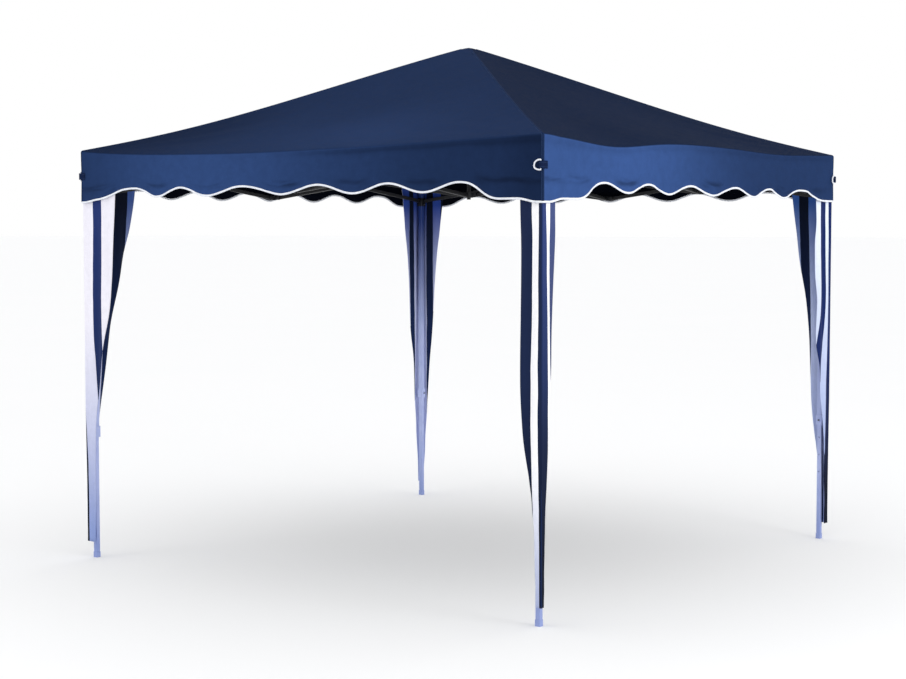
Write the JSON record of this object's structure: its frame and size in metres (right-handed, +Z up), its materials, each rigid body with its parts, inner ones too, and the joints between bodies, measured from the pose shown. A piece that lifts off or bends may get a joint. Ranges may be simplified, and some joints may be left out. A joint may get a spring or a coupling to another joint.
{
  "type": "pop up gazebo",
  "caption": "Square folding garden gazebo with a pyramid canopy, a scalloped valance, a scissor frame, telescopic legs and striped leg curtains.",
  "frame": {"origin": "on the ground under the canopy's peak, at the centre of the four legs", "axes": "+Z up, -Y the front side, +X to the right as seen from the front"},
  "size_m": [3, 3, 2.8],
  "materials": {
    "frame_paint": "satin",
    "bracket_plastic": "satin",
    "button_plastic": "satin",
    "canopy_cloth": "matte",
    "curtain_cloth": "matte"
  },
  "bodies": {
    "top_assembly": {"upper_hub": "bracket_plastic", "centre_pole": "frame_paint", "canopy": "canopy_cloth"},
    "front_inner_bar_down": {"front_inner_bar_down": "frame_paint"},
    "front_inner_bar_up": {"front_inner_bar_up": "frame_paint"},
    "front_upper_mid_bracket": {"front_upper_mid_bracket": "bracket_plastic"},
    "front_lower_mid_bracket": {"front_lower_mid_bracket": "bracket_plastic"},
    "front_rising_bar_right": {"front_rising_bar_right": "frame_paint"},
    "front_falling_bar_right": {"front_falling_bar_right": "frame_paint"},
    "front_rising_bar_left": {"front_rising_bar_left": "frame_paint"},
    "front_falling_bar_left": {"front_falling_bar_left": "frame_paint"},
    "right_inner_bar_down": {"right_inner_bar_down": "frame_paint"},
    "right_inner_bar_up": {"right_inner_bar_up": "frame_paint"},
    "right_upper_mid_bracket": {"right_upper_mid_bracket": "bracket_plastic"},
    "right_lower_mid_bracket": {"right_lower_mid_bracket": "bracket_plastic"},
    "right_rising_bar_right": {"right_rising_bar_right": "frame_paint"},
    "right_falling_bar_right": {"right_falling_bar_right": "frame_paint"},
    "right_rising_bar_left": {"right_rising_bar_left": "frame_paint"},
    "right_falling_bar_left": {"right_falling_bar_left": "frame_paint"},
    "back_inner_bar_down": {"back_inner_bar_down": "frame_paint"},
    "back_inner_bar_up": {"back_inner_bar_up": "frame_paint"},
    "back_upper_mid_bracket": {"back_upper_mid_bracket": "bracket_plastic"},
    "back_lower_mid_bracket": {"back_lower_mid_bracket": "bracket_plastic"},
    "back_rising_bar_right": {"back_rising_bar_right": "frame_paint"},
    "back_falling_bar_right": {"back_falling_bar_right": "frame_paint"},
    "back_rising_bar_left": {"back_rising_bar_left": "frame_paint"},
    "back_falling_bar_left": {"back_falling_bar_left": "frame_paint"},
    "left_inner_bar_down": {"left_inner_bar_down": "frame_paint"},
    "left_inner_bar_up": {"left_inner_bar_up": "frame_paint"},
    "left_upper_mid_bracket": {"left_upper_mid_bracket": "bracket_plastic"},
    "left_lower_mid_bracket": {"left_lower_mid_bracket": "bracket_plastic"},
    "left_rising_bar_right": {"left_rising_bar_right": "frame_paint"},
    "left_falling_bar_right": {"left_falling_bar_right": "frame_paint"},
    "left_rising_bar_left": {"left_rising_bar_left": "frame_paint"},
    "left_falling_bar_left": {"left_falling_bar_left": "frame_paint"},
    "lower_hub": {"lower_hub": "bracket_plastic"},
    "front_right_outer_leg": {"front_right_outer_leg": "frame_paint", "front_right_leg_curtain": "curtain_cloth"},
    "front_right_inner_leg": {"front_right_inner_leg": "frame_paint"},
    "front_right_slider": {"front_right_slider": "bracket_plastic"},
    "front_right_slider_button": {"front_right_slider_button": "button_plastic"},
    "front_right_leg_button": {"front_right_leg_button": "button_plastic"},
    "back_right_outer_leg": {"back_right_outer_leg": "frame_paint", "back_right_leg_curtain": "curtain_cloth"},
    "back_right_inner_leg": {"back_right_inner_leg": "frame_paint"},
    "back_right_slider": {"back_right_slider": "bracket_plastic"},
    "back_right_slider_button": {"back_right_slider_button": "button_plastic"},
    "back_right_leg_button": {"back_right_leg_button": "button_plastic"},
    "back_left_outer_leg": {"back_left_outer_leg": "frame_paint", "back_left_leg_curtain": "curtain_cloth"},
    "back_left_inner_leg": {"back_left_inner_leg": "frame_paint"},
    "back_left_slider": {"back_left_slider": "bracket_plastic"},
    "back_left_slider_button": {"back_left_slider_button": "button_plastic"},
    "back_left_leg_button": {"back_left_leg_button": "button_plastic"},
    "front_left_outer_leg": {"front_left_outer_leg": "frame_paint", "front_left_leg_curtain": "curtain_cloth"},
    "front_left_inner_leg": {"front_left_inner_leg": "frame_paint"},
    "front_left_slider": {"front_left_slider": "bracket_plastic"},
    "front_left_slider_button": {"front_left_slider_button": "button_plastic"},
    "front_left_leg_button": {"front_left_leg_button": "button_plastic"}
  },
  "joints": [
    {"name": "frame_fold", "type": "hinge", "parent": "top_assembly", "child": "front_inner_bar_down", "pos_m": [0, -0.04, 2.16], "axis": [1, 0, 0], "range_deg": [0, 78.6], "deforming": ["canopy", "front_right_leg_curtain", "back_right_leg_curtain", "back_left_leg_curtain", "front_left_leg_curtain"]},
    {"name": "front_inner_crossing", "type": "hinge", "parent": "front_inner_bar_down", "child": "front_inner_bar_up", "pos_m": [0, -0.7325, 2.07], "axis": [1, 0, 0], "range_deg": [-157.2, 0]},
    {"name": "front_lower_mid_pivot", "type": "hinge", "parent": "front_inner_bar_down", "child": "front_lower_mid_bracket", "pos_m": [0, -1.425, 1.98], "axis": [1, 0, 0], "range_deg": [-78.6, 0]},
    {"name": "front_upper_mid_pivot", "type": "hinge", "parent": "front_inner_bar_up", "child": "front_upper_mid_bracket", "pos_m": [0, -1.425, 2.16], "axis": [1, 0, 0], "range_deg": [0, 78.6]},
    {"name": "front_rising_bar_right_pivot", "type": "hinge", "parent": "front_lower_mid_bracket", "child": "front_rising_bar_right", "pos_m": [0.03, -1.455, 1.98], "axis": [0, -1, 0], "range_deg": [0, 78.6]},
    {"name": "front_falling_bar_right_pivot", "type": "hinge", "parent": "front_upper_mid_bracket", "child": "front_falling_bar_right", "pos_m": [0.03, -1.455, 2.16], "axis": [0, 1, 0], "range_deg": [0, 78.6]},
    {"name": "front_rising_bar_left_pivot", "type": "hinge", "parent": "front_lower_mid_bracket", "child": "front_rising_bar_left", "pos_m": [-0.03, -1.455, 1.98], "axis": [0, 1, 0], "range_deg": [0, 78.6]},
    {"name": "front_falling_bar_left_pivot", "type": "hinge", "parent": "front_upper_mid_bracket", "child": "front_falling_bar_left", "pos_m": [-0.03, -1.455, 2.16], "axis": [0, -1, 0], "range_deg": [0, 78.6]},
    {"name": "right_hub_hinge", "type": "hinge", "parent": "top_assembly", "child": "right_inner_bar_down", "pos_m": [0.04, 0, 2.16], "axis": [0, 1, 0], "range_deg": [0, 78.6]},
    {"name": "right_inner_crossing", "type": "hinge", "parent": "right_inner_bar_down", "child": "right_inner_bar_up", "pos_m": [0.7325, 0, 2.07], "axis": [0, 1, 0], "range_deg": [-157.2, 0]},
    {"name": "right_lower_mid_pivot", "type": "hinge", "parent": "right_inner_bar_down", "child": "right_lower_mid_bracket", "pos_m": [1.425, 0, 1.98], "axis": [0, 1, 0], "range_deg": [-78.6, 0]},
    {"name": "right_upper_mid_pivot", "type": "hinge", "parent": "right_inner_bar_up", "child": "right_upper_mid_bracket", "pos_m": [1.425, 0, 2.16], "axis": [0, 1, 0], "range_deg": [0, 78.6]},
    {"name": "right_rising_bar_right_pivot", "type": "hinge", "parent": "right_lower_mid_bracket", "child": "right_rising_bar_right", "pos_m": [1.455, 0.03, 1.98], "axis": [1, 0, 0], "range_deg": [0, 78.6]},
    {"name": "right_falling_bar_right_pivot", "type": "hinge", "parent": "right_upper_mid_bracket", "child": "right_falling_bar_right", "pos_m": [1.455, 0.03, 2.16], "axis": [-1, 0, 0], "range_deg": [0, 78.6]},
    {"name": "right_rising_bar_left_pivot", "type": "hinge", "parent": "right_lower_mid_bracket", "child": "right_rising_bar_left", "pos_m": [1.455, -0.03, 1.98], "axis": [-1, 0, 0], "range_deg": [0, 78.6]},
    {"name": "right_falling_bar_left_pivot", "type": "hinge", "parent": "right_upper_mid_bracket", "child": "right_falling_bar_left", "pos_m": [1.455, -0.03, 2.16], "axis": [1, 0, 0], "range_deg": [0, 78.6]},
    {"name": "back_hub_hinge", "type": "hinge", "parent": "top_assembly", "child": "back_inner_bar_down", "pos_m": [0, 0.04, 2.16], "axis": [-1, 0, 0], "range_deg": [0, 78.6]},
    {"name": "back_inner_crossing", "type": "hinge", "parent": "back_inner_bar_down", "child": "back_inner_bar_up", "pos_m": [0, 0.7325, 2.07], "axis": [-1, 0, 0], "range_deg": [-157.2, 0]},
    {"name": "back_lower_mid_pivot", "type": "hinge", "parent": "back_inner_bar_down", "child": "back_lower_mid_bracket", "pos_m": [0, 1.425, 1.98], "axis": [-1, 0, 0], "range_deg": [-78.6, 0]},
    {"name": "back_upper_mid_pivot", "type": "hinge", "parent": "back_inner_bar_up", "child": "back_upper_mid_bracket", "pos_m": [0, 1.425, 2.16], "axis": [-1, 0, 0], "range_deg": [0, 78.6]},
    {"name": "back_rising_bar_right_pivot", "type": "hinge", "parent": "back_lower_mid_bracket", "child": "back_rising_bar_right", "pos_m": [-0.03, 1.455, 1.98], "axis": [0, 1, 0], "range_deg": [0, 78.6]},
    {"name": "back_falling_bar_right_pivot", "type": "hinge", "parent": "back_upper_mid_bracket", "child": "back_falling_bar_right", "pos_m": [-0.03, 1.455, 2.16], "axis": [0, -1, 0], "range_deg": [0, 78.6]},
    {"name": "back_rising_bar_left_pivot", "type": "hinge", "parent": "back_lower_mid_bracket", "child": "back_rising_bar_left", "pos_m": [0.03, 1.455, 1.98], "axis": [0, -1, 0], "range_deg": [0, 78.6]},
    {"name": "back_falling_bar_left_pivot", "type": "hinge", "parent": "back_upper_mid_bracket", "child": "back_falling_bar_left", "pos_m": [0.03, 1.455, 2.16], "axis": [0, 1, 0], "range_deg": [0, 78.6]},
    {"name": "left_hub_hinge", "type": "hinge", "parent": "top_assembly", "child": "left_inner_bar_down", "pos_m": [-0.04, 0, 2.16], "axis": [0, -1, 0], "range_deg": [0, 78.6]},
    {"name": "left_inner_crossing", "type": "hinge", "parent": "left_inner_bar_down", "child": "left_inner_bar_up", "pos_m": [-0.7325, 0, 2.07], "axis": [0, -1, 0], "range_deg": [-157.2, 0]},
    {"name": "left_lower_mid_pivot", "type": "hinge", "parent": "left_inner_bar_down", "child": "left_lower_mid_bracket", "pos_m": [-1.425, 0, 1.98], "axis": [0, -1, 0], "range_deg": [-78.6, 0]},
    {"name": "left_upper_mid_pivot", "type": "hinge", "parent": "left_inner_bar_up", "child": "left_upper_mid_bracket", "pos_m": [-1.425, 0, 2.16], "axis": [0, -1, 0], "range_deg": [0, 78.6]},
    {"name": "left_rising_bar_right_pivot", "type": "hinge", "parent": "left_lower_mid_bracket", "child": "left_rising_bar_right", "pos_m": [-1.455, -0.03, 1.98], "axis": [-1, 0, 0], "range_deg": [0, 78.6]},
    {"name": "left_falling_bar_right_pivot", "type": "hinge", "parent": "left_upper_mid_bracket", "child": "left_falling_bar_right", "pos_m": [-1.455, -0.03, 2.16], "axis": [1, 0, 0], "range_deg": [0, 78.6]},
    {"name": "left_rising_bar_left_pivot", "type": "hinge", "parent": "left_lower_mid_bracket", "child": "left_rising_bar_left", "pos_m": [-1.455, 0.03, 1.98], "axis": [1, 0, 0], "range_deg": [0, 78.6]},
    {"name": "left_falling_bar_left_pivot", "type": "hinge", "parent": "left_upper_mid_bracket", "child": "left_falling_bar_left", "pos_m": [-1.455, 0.03, 2.16], "axis": [-1, 0, 0], "range_deg": [0, 78.6]},
    {"name": "lower_hub_pivot", "type": "hinge", "parent": "front_inner_bar_up", "child": "lower_hub", "pos_m": [0, -0.04, 1.98], "axis": [1, 0, 0], "range_deg": [0, 78.6]},
    {"name": "front_right_leg_top_pivot", "type": "hinge", "parent": "front_rising_bar_right", "child": "front_right_outer_leg", "pos_m": [1.415, -1.455, 2.16], "axis": [0, -1, 0], "range_deg": [-78.6, 0]},
    {"name": "front_right_slider_pivot", "type": "hinge", "parent": "front_falling_bar_right", "child": "front_right_slider", "pos_m": [1.415, -1.455, 1.98], "axis": [0, 1, 0], "range_deg": [-78.6, 0]},
    {"name": "front_right_leg_slide", "type": "slide", "parent": "front_right_outer_leg", "child": "front_right_inner_leg", "axis": [0, 0, 1], "range_m": [0, 0.6]},
    {"name": "front_right_slider_button_press", "type": "slide", "parent": "front_right_slider", "child": "front_right_slider_button", "axis": [1, 0, 0], "range_m": [0, 0.0035], "stiffness_N_per_m": 600, "springref_m": -0.001},
    {"name": "front_right_leg_button_press", "type": "slide", "parent": "front_right_outer_leg", "child": "front_right_leg_button", "axis": [1, 0, 0], "range_m": [0, 0.0035], "stiffness_N_per_m": 600, "springref_m": -0.001},
    {"name": "back_right_leg_top_pivot", "type": "hinge", "parent": "right_rising_bar_right", "child": "back_right_outer_leg", "pos_m": [1.455, 1.415, 2.16], "axis": [1, 0, 0], "range_deg": [-78.6, 0]},
    {"name": "back_right_slider_pivot", "type": "hinge", "parent": "right_falling_bar_right", "child": "back_right_slider", "pos_m": [1.455, 1.415, 1.98], "axis": [-1, 0, 0], "range_deg": [-78.6, 0]},
    {"name": "back_right_leg_slide", "type": "slide", "parent": "back_right_outer_leg", "child": "back_right_inner_leg", "axis": [0, 0, 1], "range_m": [0, 0.6]},
    {"name": "back_right_slider_button_press", "type": "slide", "parent": "back_right_slider", "child": "back_right_slider_button", "axis": [0, 1, 0], "range_m": [0, 0.0035], "stiffness_N_per_m": 600, "springref_m": -0.001},
    {"name": "back_right_leg_button_press", "type": "slide", "parent": "back_right_outer_leg", "child": "back_right_leg_button", "axis": [0, 1, 0], "range_m": [0, 0.0035], "stiffness_N_per_m": 600, "springref_m": -0.001},
    {"name": "back_left_leg_top_pivot", "type": "hinge", "parent": "back_rising_bar_right", "child": "back_left_outer_leg", "pos_m": [-1.415, 1.455, 2.16], "axis": [0, 1, 0], "range_deg": [-78.6, 0]},
    {"name": "back_left_slider_pivot", "type": "hinge", "parent": "back_falling_bar_right", "child": "back_left_slider", "pos_m": [-1.415, 1.455, 1.98], "axis": [0, -1, 0], "range_deg": [-78.6, 0]},
    {"name": "back_left_leg_slide", "type": "slide", "parent": "back_left_outer_leg", "child": "back_left_inner_leg", "axis": [0, 0, 1], "range_m": [0, 0.6]},
    {"name": "back_left_slider_button_press", "type": "slide", "parent": "back_left_slider", "child": "back_left_slider_button", "axis": [-1, 0, 0], "range_m": [0, 0.0035], "stiffness_N_per_m": 600, "springref_m": -0.001},
    {"name": "back_left_leg_button_press", "type": "slide", "parent": "back_left_outer_leg", "child": "back_left_leg_button", "axis": [-1, 0, 0], "range_m": [0, 0.0035], "stiffness_N_per_m": 600, "springref_m": -0.001},
    {"name": "front_left_leg_top_pivot", "type": "hinge", "parent": "left_rising_bar_right", "child": "front_left_outer_leg", "pos_m": [-1.455, -1.415, 2.16], "axis": [-1, 0, 0], "range_deg": [-78.6, 0]},
    {"name": "front_left_slider_pivot", "type": "hinge", "parent": "left_falling_bar_right", "child": "front_left_slider", "pos_m": [-1.455, -1.415, 1.98], "axis": [1, 0, 0], "range_deg": [-78.6, 0]},
    {"name": "front_left_leg_slide", "type": "slide", "parent": "front_left_outer_leg", "child": "front_left_inner_leg", "axis": [0, 0, 1], "range_m": [0, 0.6]},
    {"name": "front_left_slider_button_press", "type": "slide", "parent": "front_left_slider", "child": "front_left_slider_button", "axis": [0, -1, 0], "range_m": [0, 0.0035], "stiffness_N_per_m": 600, "springref_m": -0.001},
    {"name": "front_left_leg_button_press", "type": "slide", "parent": "front_left_outer_leg", "child": "front_left_leg_button", "axis": [0, -1, 0], "range_m": [0, 0.0035], "stiffness_N_per_m": 600, "springref_m": -0.001}
  ],
  "couplings": [
    {"joint": "front_inner_crossing", "follows": "frame_fold", "ratio": -2},
    {"joint": "front_lower_mid_pivot", "follows": "frame_fold", "ratio": -1},
    {"joint": "front_upper_mid_pivot", "follows": "frame_fold", "ratio": 1},
    {"joint": "front_rising_bar_right_pivot", "follows": "frame_fold", "ratio": 1},
    {"joint": "front_falling_bar_right_pivot", "follows": "frame_fold", "ratio": 1},
    {"joint": "front_rising_bar_left_pivot", "follows": "frame_fold", "ratio": 1},
    {"joint": "front_falling_bar_left_pivot", "follows": "frame_fold", "ratio": 1},
    {"joint": "right_hub_hinge", "follows": "frame_fold", "ratio": 1},
    {"joint": "right_inner_crossing", "follows": "frame_fold", "ratio": -2},
    {"joint": "right_lower_mid_pivot", "follows": "frame_fold", "ratio": -1},
    {"joint": "right_upper_mid_pivot", "follows": "frame_fold", "ratio": 1},
    {"joint": "right_rising_bar_right_pivot", "follows": "frame_fold", "ratio": 1},
    {"joint": "right_falling_bar_right_pivot", "follows": "frame_fold", "ratio": 1},
    {"joint": "right_rising_bar_left_pivot", "follows": "frame_fold", "ratio": 1},
    {"joint": "right_falling_bar_left_pivot", "follows": "frame_fold", "ratio": 1},
    {"joint": "back_hub_hinge", "follows": "frame_fold", "ratio": 1},
    {"joint": "back_inner_crossing", "follows": "frame_fold", "ratio": -2},
    {"joint": "back_lower_mid_pivot", "follows": "frame_fold", "ratio": -1},
    {"joint": "back_upper_mid_pivot", "follows": "frame_fold", "ratio": 1},
    {"joint": "back_rising_bar_right_pivot", "follows": "frame_fold", "ratio": 1},
    {"joint": "back_falling_bar_right_pivot", "follows": "frame_fold", "ratio": 1},
    {"joint": "back_rising_bar_left_pivot", "follows": "frame_fold", "ratio": 1},
    {"joint": "back_falling_bar_left_pivot", "follows": "frame_fold", "ratio": 1},
    {"joint": "left_hub_hinge", "follows": "frame_fold", "ratio": 1},
    {"joint": "left_inner_crossing", "follows": "frame_fold", "ratio": -2},
    {"joint": "left_lower_mid_pivot", "follows": "frame_fold", "ratio": -1},
    {"joint": "left_upper_mid_pivot", "follows": "frame_fold", "ratio": 1},
    {"joint": "left_rising_bar_right_pivot", "follows": "frame_fold", "ratio": 1},
    {"joint": "left_falling_bar_right_pivot", "follows": "frame_fold", "ratio": 1},
    {"joint": "left_rising_bar_left_pivot", "follows": "frame_fold", "ratio": 1},
    {"joint": "left_falling_bar_left_pivot", "follows": "frame_fold", "ratio": 1},
    {"joint": "lower_hub_pivot", "follows": "frame_fold", "ratio": 1},
    {"joint": "front_right_leg_top_pivot", "follows": "frame_fold", "ratio": -1},
    {"joint": "front_right_slider_pivot", "follows": "frame_fold", "ratio": -1},
    {"joint": "back_right_leg_top_pivot", "follows": "frame_fold", "ratio": -1},
    {"joint": "back_right_slider_pivot", "follows": "frame_fold", "ratio": -1},
    {"joint": "back_left_leg_top_pivot", "follows": "frame_fold", "ratio": -1},
    {"joint": "back_left_slider_pivot", "follows": "frame_fold", "ratio": -1},
    {"joint": "front_left_leg_top_pivot", "follows": "frame_fold", "ratio": -1},
    {"joint": "front_left_slider_pivot", "follows": "frame_fold", "ratio": -1}
  ]
}
